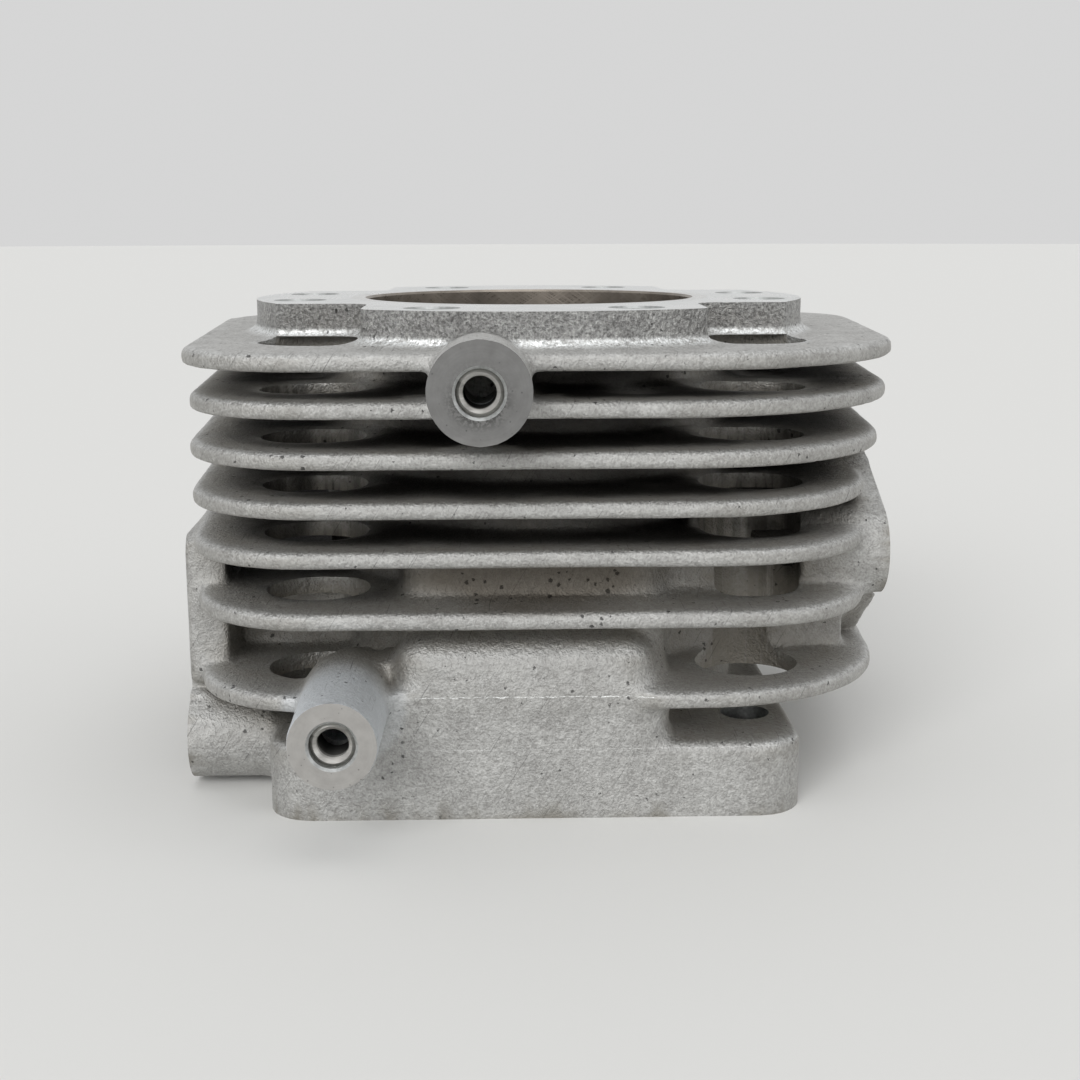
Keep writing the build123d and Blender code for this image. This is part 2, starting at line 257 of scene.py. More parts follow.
# materials
def blastedCasting():  # shot-blasted aluminium: dull silver grain and pores, with painted shade where little light reaches
    size = {"grit": 0.30, "lumps": 0.8, "blotches": 5.0, "pores": 1.3, "porous": 9.0, "coarse": 0.5,
            "scratch": (0.16, 9.0), "ragged": 0.6, "flash": 0.06, "wave": 0.5}
    heights = {"dark": (27, 33), "gapShadeAndPores": 33, "wallFoot": (65.2, 65.6, 66.0, 66.6), "wall": (65.9, 66.7)}
    fades = {"gapShadeAndPores": (2.4, 4.4), "boss": (7.6, 9.2), "bossBack": (-46, -38), "wallFront": (-47, -45.5)}
    flashFront = -35
    flash = [(17.6, -0.5, 16.5, 1.0), (10.0, 12.0, 30.0, 0.35)]    # height, middle, half length, strength
    material, add, places = newMaterial("blastedDieCastAluminium", Metallic=1.0)
    x, y, z = add("SeparateXYZ", {"Vector": places}).outputs
    grit = add("TexNoise", {"Vector": places}, Scale=1 / (size["grit"] * mm), Detail=2.0)
    lumps = add("TexNoise", {"Vector": places}, Scale=1 / (size["lumps"] * mm), Detail=3.0)
    blotches = add("TexNoise", {"Vector": places}, Scale=1 / (size["blotches"] * mm), Detail=4.0)
    coarse = add("TexNoise", {"Vector": places}, Scale=1 / (size["coarse"] * mm), Detail=4.0, Roughness=0.7)

    # silver grain; the edges' upper halves brighter, partly wear and partly a painted highlight of the light
    # from above
    grain = add("Math", {0: blotches, 1: 0.4, 2: grit}, operation="MULTIPLY_ADD")
    grain = add("Math", {0: lumps, 1: 0.5, 2: grain}, operation="MULTIPLY_ADD")
    tone = add("MapRange", {"Value": grain}, From_Min=0.72, From_Max=1.20)
    colour = add("MixRGB", {"Fac": tone}, Color1=linear("a09f9d"), Color2=linear("cdcdcb"))
    rims = add("Attribute", attribute_name="rims").outputs["Fac"]
    # painted highlight, with some wear, on the upper halves of the edges
    sheenAndWear = add("Math", {0: rims, 1: tone}, operation="MULTIPLY")
    colour = add("MixRGB", {"Fac": sheenAndWear, "Color1": colour}, Color2=linear("dee0e0"))

    # painted shade: on the lower halves of the edges, warm and blotchy where little light reaches, and near
    # black deep in the hollows and low between the fins
    under = add("Attribute", attribute_name="underRims").outputs["Fac"]
    # painted shade on the lower halves of the edges
    underShade = add("Math", {0: under, 1: 0.75}, operation="MULTIPLY")
    colour = add("MixRGB", {"Fac": underShade, "Color1": colour}, Color2=linear("8c887f"))
    reach = add("Attribute", attribute_name="lightReach").outputs["Fac"]
    # painted shade, warm and blotchy, where little light reaches
    shadeByReach = add("MapRange", {"Value": reach}, From_Min=0.26, From_Max=0.62, To_Min=0.9, To_Max=0.0)
    blotchyShade = add("Math", {0: shadeByReach, 1: blotches}, operation="MULTIPLY")
    colour = add("MixRGB", {"Fac": blotchyShade, "Color1": colour}, Color2=linear("8f897e"))
    # painted shade, near black, deep in the hollows and lower down between the fins
    low = add("MapRange", {"Value": z}, interpolation_type="SMOOTHSTEP",
              From_Min=heights["dark"][0] * mm, From_Max=heights["dark"][1] * mm,
              To_Min=0.14, To_Max=0.0)
    opened = add("Math", {0: reach, 1: low}, operation="ADD")
    deepShade = add("MapRange", {"Value": opened}, interpolation_type="SMOOTHSTEP",
                From_Min=0.02, From_Max=0.24)
    colour = add("MixRGB", {"Fac": deepShade, "Color2": colour}, Color1=linear("3b3936"))

    # the ducts' walls between fins 5 and 6 are more porous, and darker with painted shade in that gap
    gapShadeAndPores = add("VectorMath", {0: places, 1: (0.0, 0.0, heights["gapShadeAndPores"] * mm)}, operation="SUBTRACT")
    gapShadeAndPores = add("VectorMath", {0: gapShadeAndPores, 1: (0.2, 0.0, 1.0)}, operation="MULTIPLY")
    gapShadeAndPores = add("VectorMath", {0: gapShadeAndPores}, operation="LENGTH").outputs["Value"]
    gapShadeAndPores = add("MapRange", {"Value": gapShadeAndPores}, interpolation_type="SMOOTHSTEP",
               From_Min=fades["gapShadeAndPores"][0] * mm, From_Max=fades["gapShadeAndPores"][1] * mm, To_Min=1.0, To_Max=0.0)
    # painted shade in the gap between fins 5 and 6
    colour = add("MixRGB", {"Fac": gapShadeAndPores, "Color1": colour}, blend_type="MULTIPLY", Color2=linear("c4bfb8"))

    # the deck's side wall is left as cast: a coarse skin darkened by painted shade in its pits, with a bright
    # band at its foot, partly torn flash and partly a painted highlight on the fillet
    wall = add("MapRange", {"Value": z}, interpolation_type="SMOOTHSTEP",
               From_Min=heights["wall"][0] * mm, From_Max=heights["wall"][1] * mm)
    behind = add("MapRange", {"Value": y},
                 From_Min=fades["wallFront"][0] * mm, From_Max=fades["wallFront"][1] * mm)
    wall = add("Math", {0: wall, 1: behind}, operation="MULTIPLY")
    # painted shade in the pits of the coarse skin
    pitShade = add("MapRange", {"Value": coarse}, From_Min=0.36, From_Max=0.64, To_Min=0.42, To_Max=1.06)
    colour = add("MixRGB", {"Fac": wall, "Color1": colour, "Color2": pitShade}, blend_type="MULTIPLY")
    # bright band at the wall's foot: torn flash and a painted highlight on the fillet
    start, full, fade, end = [height * mm for height in heights["wallFoot"]]
    footFlashAndHighlight = add("MapRange", {"Value": z}, From_Min=start, From_Max=full)
    fall = add("MapRange", {"Value": z}, From_Min=fade, From_Max=end, To_Min=1.0, To_Max=0.0)
    patchy = add("MapRange", {"Value": coarse}, From_Min=0.38, From_Max=0.58)
    for factor in (fall, patchy, behind):
        footFlashAndHighlight = add("Math", {0: footFlashAndHighlight, 1: factor}, operation="MULTIPLY")
    colour = add("MixRGB", {"Fac": footFlashAndHighlight, "Color1": colour}, Color2=linear("f0f2f2"))

    # the lower cover boss has a smooth skin; a painted reflection of a bright light from above the front
    # makes it paler and bluish
    boss = screwMouths("lower_cover_screw")[1][0] * mm
    aside = add("VectorMath", {0: places, 1: (1.0, 0.0, 1.0)}, operation="MULTIPLY")
    aside = add("VectorMath", {0: aside, 1: (boss.x, 0.0, boss.z)}, operation="DISTANCE")
    bossReflection = add("MapRange", {"Value": aside.outputs["Value"]}, interpolation_type="SMOOTHSTEP",
                 From_Min=fades["boss"][0] * mm, From_Max=fades["boss"][1] * mm, To_Min=0.7, To_Max=0.0)
    ahead = add("MapRange", {"Value": y}, To_Min=1.0, To_Max=0.0,
                From_Min=fades["bossBack"][0] * mm, From_Max=fades["bossBack"][1] * mm)
    bossReflection = add("Math", {0: bossReflection, 1: ahead}, operation="MULTIPLY")
    colour = add("MixRGB", {"Fac": bossReflection, "Color1": colour}, Color2=linear("dbe0e5"))

    # thin flash along the mould's parting lines, on the front only
    front = add("Math", {0: y, 1: flashFront * mm}, operation="LESS_THAN")
    wavy = add("Math", {0: lumps, 1: size["wave"] * mm, 2: z}, operation="MULTIPLY_ADD")
    for height, middle, half, strength in flash:
        height = (height + size["wave"] / 2) * mm
        line = add("Math", {0: wavy, 1: height, 2: size["flash"] * mm}, operation="COMPARE")
        length = add("Math", {0: x, 1: middle * mm, 2: half * mm}, operation="COMPARE")
        for factor in (length, front, patchy, strength):
            line = add("Math", {0: line, 1: factor}, operation="MULTIPLY")
        colour = add("MixRGB", {"Fac": line, "Color1": colour}, Color2=linear("f2f3f2"))

    # gas pores in irregular groups, and a few long scratches
    ragged = add("VectorMath", operation="MULTIPLY_ADD",
                 links={0: grit.outputs["Color"], 1: (size["ragged"] * mm,) * 3, 2: places})
    pores = add("TexVoronoi", {"Vector": ragged}, Scale=1 / (size["pores"] * mm))
    chance = add("SeparateColor", {"Color": pores.outputs["Color"]})
    porous = add("TexNoise", {"Vector": places}, Scale=1 / (size["porous"] * mm))
    wide = add("Math", {0: chance, 1: porous}, operation="MULTIPLY")
    wide = add("Math", {0: gapShadeAndPores, 1: 0.14, 2: wide}, operation="MULTIPLY_ADD")
    wide = add("MapRange", {"Value": wide}, From_Min=0.26, From_Max=0.60, To_Max=0.24)
    inside = add("Math", {0: pores, 1: wide}, operation="SUBTRACT")
    pit = add("MapRange", {"Value": inside}, From_Min=-0.03, From_Max=0.04, To_Min=0.32)
    across, along = [extent * mm for extent in size["scratch"]]
    scored = add("Mapping", {"Vector": places}, vector_type="TEXTURE",
                 Rotation=(0.2, 0.55, 0.0), Scale=(across, along, along))
    scratches = add("TexNoise", {"Vector": scored}, Scale=1.0, Detail=1.0)
    scratch = add("MapRange", {"Value": scratches}, From_Min=0.71, From_Max=0.75, To_Min=1.0, To_Max=0.62)
    for marks in (pit, scratch):
        colour = add("MixRGB", {"Color1": colour, "Color2": marks}, blend_type="MULTIPLY", Fac=1.0)

    rough = add("MapRange", {"Value": grit}, From_Min=0.3, From_Max=0.7, To_Min=0.60, To_Max=0.78)
    for shiny in (sheenAndWear, wall, footFlashAndHighlight):
        rough = add("Math", {0: shiny, 1: -0.26, 2: rough}, operation="MULTIPLY_ADD")
    skin = add("Bump", {"Height": coarse, "Strength": wall}, Distance=0.55 * mm)
    for height, strength, distance in ((lumps, 0.9, 0.24), (grit, 1.0, 0.14), (pit, 0.7, 0.10)):
        skin = add("Bump", {"Height": height, "Normal": skin}, Strength=strength, Distance=distance * mm)
    return feedShader(material, Base_Color=colour, Roughness=rough, Normal=skin)


def milledFace(name, light, dull):  # cut by a face mill: fine bright arcs, and a pore here and there
    size = {"cutter": 62.0, "feed": 0.35, "cloudy": 6, "pores": 4.0}    # real feed, 0.15, is too fine to show
    material, add, places = newMaterial(name, Metallic=1.0)
    x, y, z = add("SeparateXYZ", {"Vector": places}).outputs
    across = add("Math", {0: y, 1: y}, operation="MULTIPLY")
    across = add("Math", {0: (size["cutter"] * mm) ** 2, 1: across}, operation="SUBTRACT")
    across = add("Math", {0: across}, operation="SQRT")
    arc = add("Math", {0: x, 1: across}, operation="SUBTRACT")
    along = add("Math", {0: y, 1: 0.02}, operation="MULTIPLY")
    path = add("CombineXYZ", {"X": arc, "Y": along})
    cuts = add("TexNoise", {"Vector": path}, Scale=1 / (size["feed"] * mm), Detail=2.0)
    cloudy = add("TexNoise", {"Vector": places}, Scale=1 / (size["cloudy"] * mm), Detail=3.0)
    shade = add("Math", {0: cuts, 1: cloudy}, operation="ADD")
    tone = add("MapRange", {"Value": shade}, From_Min=0.75, From_Max=1.15)
    metal = add("MixRGB", {"Fac": tone}, Color1=linear(dull), Color2=linear(light))
    pores = add("TexVoronoi", {"Vector": places}, Scale=1 / (size["pores"] * mm))
    pit = add("MapRange", {"Value": pores}, From_Min=0.025, From_Max=0.045, To_Min=0.45)
    colour = add("MixRGB", {"Color1": metal, "Color2": pit}, blend_type="MULTIPLY", Fac=1.0)
    rough = add("MapRange", {"Value": shade}, From_Min=0.75, From_Max=1.25, To_Min=0.36, To_Max=0.24)
    grooves = add("Bump", {"Height": cuts}, Strength=0.5, Distance=0.02 * mm)
    return feedShader(material, Base_Color=colour, Roughness=rough, Normal=grooves)


def spotFacedAluminium():  # faces cut flat: matte rings, pores, oily smudges under the upper hole, and painted shade over the whole upper boss's face
    size = {"rings": 0.30, "smudges": 1.6, "dirt": 0.30, "pores": 1.2}  # real rings, 0.1, are too fine
    fades = {"smudge": (2.6, 4.9), "below": (-2.5, 1.5), "upperBoss": (48, 56)}
    material, add, places = newMaterial("spotFacedAluminium", Metallic=1.0)
    x, y, z = add("SeparateXYZ", {"Vector": places}).outputs
    away = farOff * mm
    for name in coverScrews + portScrews:
        mouths = screwMouths(name)[1]
        centre = (mouths[0] + mouths[-1]) / 2 * mm
        distance = add("VectorMath", {0: places, 1: centre}, operation="DISTANCE")
        away = add("Math", {0: distance.outputs["Value"], 1: away}, operation="MINIMUM")
    path = add("CombineXYZ", {"X": away})
    rings = add("TexNoise", {"Vector": path}, Scale=1 / (size["rings"] * mm), Detail=2.0)
    cloudy = add("TexNoise", {"Vector": places}, Scale=1 / (size["smudges"] * mm), Detail=4.0)
    shade = add("Math", {0: rings, 1: 0.3, 2: cloudy}, operation="MULTIPLY_ADD")
    tone = add("MapRange", {"Value": shade}, From_Min=0.35, From_Max=0.95)
    metal = add("MixRGB", {"Fac": tone}, Color1=linear("a19f9c"), Color2=linear("b6b4b1"))
    upper = add("MapRange", {"Value": z},
                From_Min=fades["upperBoss"][0] * mm, From_Max=fades["upperBoss"][1] * mm)
    # painted shade over the upper boss's face
    upperShaded = add("MixRGB", {"Fac": upper, "Color1": metal}, Color2=(0.47, 0.48, 0.49, 1.0),
                 blend_type="MULTIPLY")
    smudge = add("MapRange", {"Value": away}, To_Min=1.0, To_Max=0.0,
                 From_Min=fades["smudge"][0] * mm, From_Max=fades["smudge"][1] * mm)
    dirt = add("TexNoise", {"Vector": places}, Scale=1 / (size["dirt"] * mm), Detail=2.0)
    specks = add("Math", {0: dirt, 1: cloudy}, operation="ADD")
    blot = add("MapRange", {"Value": specks}, From_Min=0.86, From_Max=1.08)
    hole = screwMouths("upper_cover_screw")[1][0].z
    hung = add("MapRange", {"Value": z}, To_Min=1.0, To_Max=0.25,
               From_Min=(hole + fades["below"][0]) * mm, From_Max=(hole + fades["below"][1]) * mm)
    for factor in (blot, hung, upper):
        smudge = add("Math", {0: smudge, 1: factor}, operation="MULTIPLY")
    colour = add("MixRGB", {"Fac": smudge, "Color1": upperShaded}, Color2=linear("2f2e2c"))
    pores = add("TexVoronoi", {"Vector": places}, Scale=1 / (size["pores"] * mm))
    pit = add("MapRange", {"Value": pores}, From_Min=0.06, From_Max=0.12, To_Min=0.62)
    colour = add("MixRGB", {"Color1": colour, "Color2": pit}, blend_type="MULTIPLY", Fac=1.0)
    rough = add("MapRange", {"Value": shade}, From_Min=0.45, From_Max=0.85, To_Min=0.54, To_Max=0.44)
    grooves = add("Bump", {"Height": rings}, Strength=0.5, Distance=0.02 * mm)
    dents = add("Bump", {"Height": cloudy, "Normal": grooves}, Strength=0.5, Distance=0.08 * mm)
    return feedShader(material, Base_Color=colour, Roughness=rough, Normal=dents)


def drilledAluminium():  # bright bored wall with fine uneven tool marks
    size = {"marks": 0.5}
    material, add, places = newMaterial("drilledAluminium", Metallic=1.0)
    marks = add("TexNoise", {"Vector": places}, Scale=1 / (size["marks"] * mm), Detail=3.0)
    metal = add("MixRGB", {"Fac": marks}, Color1=linear("8e908f"), Color2=linear("d2d4d3"))
    rough = add("MapRange", {"Value": marks}, To_Min=0.30, To_Max=0.50)
    ridges = add("Bump", {"Height": marks}, Strength=0.6, Distance=0.05 * mm)
    return feedShader(material, Base_Color=metal, Roughness=rough, Normal=ridges)


def honedIron():  # grey iron honed crosswise: dark warm metal, crossed scratches, soft bands down the bore
    size = {"stone": (0.20, 12.0), "bands": 5.0}     # width and length of a scratch; real ones are 0.05 wide
    material, add, places = newMaterial("honedIron", Metallic=1.0)
    x, y, z = add("SeparateXYZ", {"Vector": places}).outputs
    angle = add("Math", {0: y, 1: x}, operation="ARCTAN2")
    arc = add("Math", {0: angle, 1: linerRadius * mm}, operation="MULTIPLY")
    unrolled = add("CombineXYZ", {"X": arc, "Y": z})
    crossed = []
    for slant in (-30, 30):
        turned = add("Mapping", {"Vector": unrolled}, vector_type="TEXTURE",
                     Rotation=(0, 0, math.radians(slant)),
                     Scale=(size["stone"][1] * mm, size["stone"][0] * mm, 1.0))
        crossed.append(add("TexNoise", {"Vector": turned}, Scale=1.0, Detail=2.0))
    hatch = add("Math", {0: crossed[0], 1: crossed[1]}, operation="MAXIMUM")
    level = add("CombineXYZ", {"X": x, "Y": y})
    bands = add("TexNoise", {"Vector": level}, Scale=1 / (size["bands"] * mm), Detail=3.0)
    shade = add("Math", {0: hatch, 1: 0.5, 2: bands}, operation="MULTIPLY_ADD")
    tone = add("MapRange", {"Value": shade}, From_Min=0.55, From_Max=0.98)
    metal = add("MixRGB", {"Fac": tone}, Color1=linear("7d766e"), Color2=linear("a59d93"))
    rough = add("MapRange", {"Value": hatch}, From_Min=0.4, From_Max=0.7, To_Min=0.26, To_Max=0.42)
    grooves = add("Bump", {"Height": hatch}, Strength=0.5, Distance=0.02 * mm)
    return feedShader(material, Base_Color=metal, Roughness=rough, Normal=grooves)


def drawnSteelWire():  # stainless wire drawn bright, with faint streaks, and painted shade that darkens it down the hole
    size = {"streaksPerMetre": (300, 300, 2500), "shadeDepth": (2.8, 3.9)}
    material, add, places = newMaterial("drawnSteelWire", Metallic=1.0, Roughness=0.32)
    flat = add("Mapping", {"Vector": places}, Scale=size["streaksPerMetre"])
    streaks = add("TexNoise", {"Vector": flat}, Scale=1.0, Detail=2.0)
    metal = add("MixRGB", {"Fac": streaks}, Color1=linear("9c9a96"), Color2=linear("d6d4d0"))
    away = farOff * mm
    for name in headScrews + portScrews + coverScrews:
        for mouth in screwMouths(name)[1]:
            distance = add("VectorMath", {0: places, 1: mouth * mm}, operation="DISTANCE")
            away = add("Math", {0: distance.outputs["Value"], 1: away}, operation="MINIMUM")
    # painted shade deeper down each hole
    holeShade = add("MapRange", {"Value": away}, To_Min=1.0, To_Max=0.16,
                From_Min=size["shadeDepth"][0] * mm, From_Max=size["shadeDepth"][1] * mm)
    metal = add("MixRGB", {"Color1": metal, "Color2": holeShade}, blend_type="MULTIPLY", Fac=1.0)
    ridges = add("Bump", {"Height": streaks}, Strength=0.4, Distance=0.02 * mm)
    return feedShader(material, Base_Color=metal, Normal=ridges)


castMaterial = blastedCasting()
deckMaterial = milledFace("milledAluminium", "f6f7f6", "e2e4e3")
spotMaterial = spotFacedAluminium()
drilledMaterial = drilledAluminium()
ironMaterial = honedIron()
ironTopMaterial = milledFace("milledIron", "eeeeec", "dcdcda")
steelMaterial = drawnSteelWire()
print("materials ready")


# casting: a rough cast shape with stock left on, then milled and drilled as the real one is
casting = {
    "voxel": (0.45, 0.72),      # finest detail of the rough shape, which rounds cast edges; and a coarser one
    "stock": 0.8,               # metal left on for machining
    "filler": (0.9, 0.6),       # metal round each place that is drilled later, and beyond its end
    "breakOut": (0.7, 0.6),     # the drills go on past the flange, and past the lowest fin
    "filletRounds": 90,         # how far hollow corners fill up
    "filletStart": 0.004,       # a hollow shallower than this stays
    "softenRounds": 3,
    "stride": 0.6,              # share of the way to the neighbours' mean in one round
    "crispFillet": 0.1,         # share of the fillets on the deck's side wall and round the cover bosses
    "crispZone": (1.0, 9.0, -38.0),     # so far above the top fin; round a boss, and in front of this y
    "triangles": 108000,        # before its long edges are split
    "swell": (0.10, 9.0),       # slow unevenness of the skin: height, size
    "ripple": (0.05, 2.2),      # finer unevenness
    "threadedHoles": {          # seat radius and depth of each group of screw holes
        "head_screws_front": (3.55, 8.2),
        "head_screws_side": (3.55, 8.2),
        "exhaust_screws": (3.55, 10.6),
        "intake_screws": (3.0, 9.1),
        "upper_cover_screw": (3.0, 9.1),
        "lower_cover_screw": (3.0, 9.1),
    },
    "chamfer": 0.35,            # at the mouths of those holes
    "runOut": (0.75, 8.0),      # the core drill goes on past the insert: share of its seat, length
    "headRunOut": (0.7, 0.05),
    "boreLips": ((65.6, 29.2), (3.0, 28.4)),    # rough bore's solid ends: height and radius, above and below
    "boreEnds": (65.2, 3.4),    # how far down and up those are bored out again
    "exhaustPad": ((-32.0, 18.5), (32.0, 49.6)),    # y and z round the flange's face as cast
    "intakePad": ((-32.0, -farOff), (32.0, 40.0)),
    "exhaustCut": ((-31.1, 26.3), (31.1, 49.5)),    # and where it is milled
    "intakeCut": ((-31.0, 0.01), (31.0, 39.1)),
    "lobeWall": ((25.3, 21.5), (36.5, 17.0)),   # x and y of the deck lobes' walls above the passages
    "flangeTop": 10.6,
    "finTops": [65.0, 58.8, 52.1, 45.3, 38.5, 29.8, 18.3],
    "finThickness": 2.4,
    "passage": 7.4,             # radius of the driver passages above the flange screws
    "passageTop": 65.5,         # they just nick the foot of the deck's wall
    "mouth": (1, 4, 9.8, 0.45), # first and last fin with sunk mouths round the passages; radius, depth
    "upperBoss": (12.0, 6.55),  # length and radius of the upper cover boss
    "webs": [                   # metal that the mould leaves between fins, bosses and flanges
        ((-24.0, -41.0, 9.5), (-14.0, -32.0, 17.9)),
        ((-22.0, -36.5, 15.0), (-14.0, -28.0, 21.5)),
        ((intakeFace + 0.2, -25.5, 26.5), (-44.2, 25.5, 36.5)),
        ((intakeFace + 0.2, -25.5, 15.5), (-44.2, -13.8, 27.0)),
        ((intakeFace + 0.2, 13.8, 15.5), (-44.2, 25.5, 27.0)),
        ((35.0, -19.5, 17.0), (46.5, 19.5, 28.5)),
        ((15.0, -31.5, 28.5), (26.0, -24.0, 37.5)),
        ((24.0, -20.5, 17.0), (38.0, -12.0, 28.5)),
    ],
    "ductWall": ((-19.6, 26.0, 4.0), (16.6, 41.0, 25.3)),   # upright foot of the ducts, front and rear
    "ductCorner": 4.2,
    "shoulder": {               # under the bulge the lowest fin's front rim is cut back flush with it
        "height": (17.6, 3.0),      # of the rim, and how far from that it still counts
        "from": -21.0,
        "fade": (13.0, 17.5),       # between these it runs out to the whole fin
        "reach": (41.2, 1.4),       # flush, and how much further at the end of the fade
        "bossRadius": 6.6,          # the lower boss stays
    },
    "longestEdge": 2.2,
    "cutPast": 1.0,             # cutters run this far past a face
    "onFace": 0.02,             # what lies this close to a face belongs to it
}


def pushFace(piece, axis, place, distance, pad=((-farOff, -farOff), (farOff, farOff))):  # pad is in y and z
    places = vertexPlaces(piece.data)
    inside = np.abs(places[:, axis] - place * mm) < casting["onFace"] * mm
    inside &= ((places[:, 1:] > np.array(pad[0]) * mm) & (places[:, 1:] < np.array(pad[1]) * mm)).all(axis=1)
    places[inside, axis] += distance * mm
    piece.data.vertices.foreach_set("co", places.ravel())
    piece.data.update()


def fillHollows(piece, rounds, softening):  # hollow corners fill up, outer ones stay
    mesh = piece.data
    ends = np.empty(len(mesh.edges) * 2, dtype=np.int64)
    mesh.edges.foreach_get("vertices", ends)
    a, b = ends.reshape(-1, 2).T
    total = len(mesh.vertices)
    share = 1 / np.maximum(np.bincount(a, minlength=total) + np.bincount(b, minlength=total), 1)
    places, normals = vertexPlaces(mesh), np.empty(total * 3)
    above, radius, front = casting["crispZone"]
    crisp = places[:, 2] > (casting["finTops"][0] + above) * mm
    for name in coverScrews:
        boss = screwMouths(name)[1][0] * mm
        away = np.hypot(places[:, 0] - boss.x, places[:, 2] - boss.z)
        crisp |= (away < radius * mm) & (places[:, 1] < front * mm)
    ease = np.where(crisp, casting["crispFillet"], 1.0)
    for step in range(rounds + softening):
        if step % 4 == 0:
            mesh.vertices.foreach_set("co", places.ravel())
            mesh.update()
            mesh.vertices.foreach_get("normal", normals)
            outward = normals.reshape(-1, 3)
        around = np.stack([np.bincount(a, places[b, k], total) + np.bincount(b, places[a, k], total)
                           for k in range(3)], axis=1) * share[:, None]
        shift = around - places
        if step < rounds:
            lift = np.maximum((shift * outward).sum(axis=1) - casting["filletStart"] * mm, 0)
            shift = outward * (lift * ease)[:, None]
        places = places + shift * casting["stride"]
    mesh.vertices.foreach_set("co", places.ravel())
    mesh.update()


def unevenness(piece, name, height, size):
    clouds = bpy.data.textures.new(name, "CLOUDS")
    clouds.noise_scale = size * mm
    clouds.noise_depth = 1
    applyModifier(piece, "DISPLACE", name, texture=clouds, texture_coords="LOCAL",
                  strength=height * mm, mid_level=0.5)


def fillerPieces():  # what is drilled or milled later is solid in the rough casting
    stock, (filler, beyond), thickness = casting["stock"], casting["filler"], casting["finThickness"]
    up = (0, 0, 1)
    (topLip, topRadius), (footLip, footRadius) = casting["boreLips"]
    pieces = [turnedRod(up, (0, 0, 0), [(topLip, topRadius), (deckTop + stock, topRadius)], 96),
              turnedRod(up, (0, 0, 0), [(-stock, footRadius), (footLip, footRadius)], 96)]
    for name, (radius, depth) in casting["threadedHoles"].items():
        axis, mouths = screwMouths(name)
        deep = deckTop - casting["finTops"][0] + thickness if axis.z > 0.5 else depth + beyond
        rise = [(-deep, radius + filler), (stock, radius + filler)]
        pieces += [turnedRod(axis, mouth, rise, 32) for mouth in mouths]
    for screw in flangeScrews:
        rise = [(-stock, flangeHole + filler), (casting["flangeTop"], flangeHole + filler)]
        pieces.append(turnedRod(up, screw, rise, 32))
        for top in casting["finTops"]:
            rise = [(top - thickness, casting["passage"] + filler), (top, casting["passage"] + filler)]
            pieces.append(turnedRod(up, screw, rise, 48))
        side, back = math.copysign(1, screw.x), math.copysign(1, screw.y)
        (nearX, nearY), (farX, farY) = casting["lobeWall"]
        pieces.append(slab(*sortedCorners((side * nearX, back * nearY, casting["passageTop"]),
                                          (side * farX, back * farY, deckTop + stock))))
    length, radius = casting["upperBoss"]
    upperBoss = screwMouths("upper_cover_screw")[1][0]
    pieces.append(turnedRod((0, -1, 0), upperBoss, [(-length, radius), (stock, radius)], 64))
    pieces += [slab(*corners) for corners in casting["webs"]]
    (left, near, low), (right, far, high) = casting["ductWall"]
    for side in (-1, 1):
        wall = slab(*sortedCorners((left, side * near, low), (right, side * far, high)))
        applyModifier(wall, "BEVEL", "corners", width=casting["ductCorner"] * mm, segments=6)
        pieces.append(wall)
    return pieces


def sortedCorners(one, other):
    return [min(a, b) for a, b in zip(one, other)], [max(a, b) for a, b in zip(one, other)]


def shapeSkin(piece):  # small forms of the mould that are easier moved than modelled
    places = vertexPlaces(piece.data) / mm
    normals = np.empty(len(places) * 3)
    piece.data.vertices.foreach_get("normal", normals)
    upward = normals.reshape(-1, 3)[:, 2] > 0.4
    shoulder = casting["shoulder"]
    (height, near), (first, last), (reach, further) = [shoulder[key] for key in ("height", "fade", "reach")]
    rim = (np.abs(places[:, 2] - height) < near) & (places[:, 0] > shoulder["from"]) & (places[:, 0] < last)
    lowerBoss = screwMouths("lower_cover_screw")[1][0]
    rim &= np.hypot(places[:, 0] - lowerBoss.x, places[:, 2] - lowerBoss.z) > shoulder["bossRadius"]
    share = np.clip((places[:, 0] - first) / (last - first), 0, 1)
    limit = -reach - share * share * (3 - 2 * share) * further
    places[rim, 1] = np.maximum(places[rim, 1], limit[rim])
    firstFin, lastFin, radius, depth = casting["mouth"]
    for top in casting["finTops"][firstFin:lastFin + 1]:
        for screw in flangeScrews:
            away = np.hypot(places[:, 0] - screw.x, places[:, 1] - screw.y)
            share = np.clip((radius - away) / (radius - casting["passage"]), 0, 1)
            skin = upward & (np.abs(places[:, 2] - top) < 1.2) & (share > 0)
            places[skin, 2] -= (depth * share * share)[skin]
    piece.data.vertices.foreach_set("co", (places * mm).ravel())
    piece.data.update()


def splitLongEdges(piece, longest):
    mesh = piece.data
    for _ in range(2):
        ends = np.empty(len(mesh.edges) * 2, dtype=np.int64)
        mesh.edges.foreach_get("vertices", ends)
        places = vertexPlaces(mesh)[ends.reshape(-1, 2)]
        long = np.linalg.norm(places[:, 0] - places[:, 1], axis=1) > longest * mm
        makeActive(piece)
        bpy.ops.object.mode_set(mode="EDIT")
        bpy.ops.mesh.select_mode(type="EDGE")
        bpy.ops.mesh.select_all(action="DESELECT")
        bpy.ops.object.mode_set(mode="OBJECT")
        mesh.edges.foreach_set("select", long)
        bpy.ops.object.mode_set(mode="EDIT")
        bpy.ops.mesh.subdivide(number_cuts=1)
        bpy.ops.object.mode_set(mode="OBJECT")


